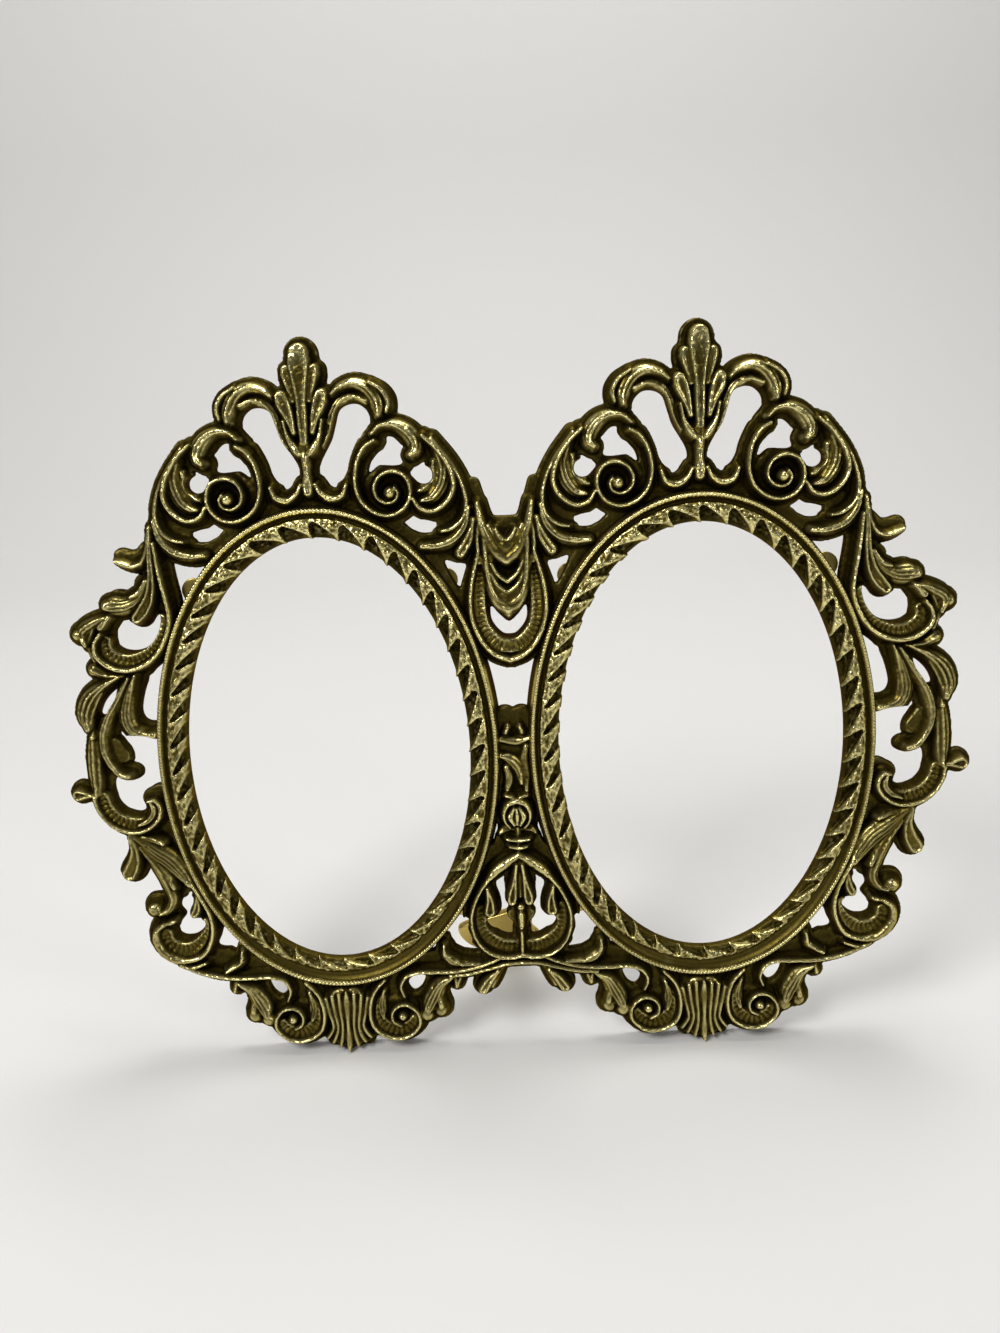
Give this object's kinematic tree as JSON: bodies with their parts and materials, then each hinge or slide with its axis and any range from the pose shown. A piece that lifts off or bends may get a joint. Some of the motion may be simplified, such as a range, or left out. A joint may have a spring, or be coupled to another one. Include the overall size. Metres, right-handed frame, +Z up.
{
  "type": "double oval photo frame",
  "caption": "Ornate cast brass double photo frame with open rope-edged ovals in pierced scrollwork, turn clips behind them and a hinged easel leg.",
  "frame": {"origin": "middle of the bounding box on the table surface the frame stands on", "axes": "+X to the viewer's right along both ovals, +Y away from the viewer towards the easel leg, +Z up"},
  "size_m": [0.154, 0.0308, 0.1216],
  "materials": {
    "antique_brass": "cast brass with dark brown patina in the recesses and rubbed bright ridges",
    "plain_brass": "smooth brass sheet, lightly tarnished",
    "screw_brass": "turned brass"
  },
  "bodies": {
    "casting": {"left_oval_ring": "antique_brass", "left_crest": "antique_brass", "left_side_scroll": "antique_brass", "left_pendant": "antique_brass", "right_oval_ring": "antique_brass", "right_crest": "antique_brass", "right_side_scroll": "antique_brass", "right_pendant": "antique_brass", "centre_drapery": "antique_brass", "centre_heart": "antique_brass", "left_upper_inner_clip_screw": "screw_brass", "left_upper_outer_clip_screw": "screw_brass", "left_lower_inner_clip_screw": "screw_brass", "left_lower_outer_clip_screw": "screw_brass", "right_upper_inner_clip_screw": "screw_brass", "right_upper_outer_clip_screw": "screw_brass", "right_lower_inner_clip_screw": "screw_brass", "right_lower_outer_clip_screw": "screw_brass", "left_bracket_screw": "screw_brass", "right_bracket_screw": "screw_brass", "hinge_bracket": "plain_brass", "hinge_pin": "screw_brass"},
    "leg": {"easel_leg": "plain_brass"},
    "left_upper_inner_clip": {"left_upper_inner_clip": "plain_brass"},
    "left_upper_outer_clip": {"left_upper_outer_clip": "plain_brass"},
    "left_lower_inner_clip": {"left_lower_inner_clip": "plain_brass"},
    "left_lower_outer_clip": {"left_lower_outer_clip": "plain_brass"},
    "right_upper_inner_clip": {"right_upper_inner_clip": "plain_brass"},
    "right_upper_outer_clip": {"right_upper_outer_clip": "plain_brass"},
    "right_lower_inner_clip": {"right_lower_inner_clip": "plain_brass"},
    "right_lower_outer_clip": {"right_lower_outer_clip": "plain_brass"}
  },
  "joints": [
    {"name": "leg_hinge", "type": "hinge", "parent": "casting", "child": "leg", "pos_m": [0, -0.00087, 0.05409], "axis": [1, 0, 0], "range_deg": [-24, 0]},
    {"name": "left_upper_inner_clip_turn", "type": "hinge", "parent": "casting", "child": "left_upper_inner_clip", "pos_m": [-0.0119, -0.00051, 0.08107], "axis": [0, -0.9903, 0.1392], "continuous": true},
    {"name": "left_upper_outer_clip_turn", "type": "hinge", "parent": "casting", "child": "left_upper_outer_clip", "pos_m": [-0.0512, -0.00051, 0.08107], "axis": [0, -0.9903, 0.1392], "continuous": true},
    {"name": "left_lower_inner_clip_turn", "type": "hinge", "parent": "casting", "child": "left_lower_inner_clip", "pos_m": [-0.0119, -0.00824, 0.02607], "axis": [0, -0.9903, 0.1392], "continuous": true},
    {"name": "left_lower_outer_clip_turn", "type": "hinge", "parent": "casting", "child": "left_lower_outer_clip", "pos_m": [-0.0512, -0.00824, 0.02607], "axis": [0, -0.9903, 0.1392], "continuous": true},
    {"name": "right_upper_inner_clip_turn", "type": "hinge", "parent": "casting", "child": "right_upper_inner_clip", "pos_m": [0.0119, -0.00051, 0.08107], "axis": [0, -0.9903, 0.1392], "continuous": true},
    {"name": "right_upper_outer_clip_turn", "type": "hinge", "parent": "casting", "child": "right_upper_outer_clip", "pos_m": [0.0512, -0.00051, 0.08107], "axis": [0, -0.9903, 0.1392], "continuous": true},
    {"name": "right_lower_inner_clip_turn", "type": "hinge", "parent": "casting", "child": "right_lower_inner_clip", "pos_m": [0.0119, -0.00824, 0.02607], "axis": [0, -0.9903, 0.1392], "continuous": true},
    {"name": "right_lower_outer_clip_turn", "type": "hinge", "parent": "casting", "child": "right_lower_outer_clip", "pos_m": [0.0512, -0.00824, 0.02607], "axis": [0, -0.9903, 0.1392], "continuous": true}
  ]
}
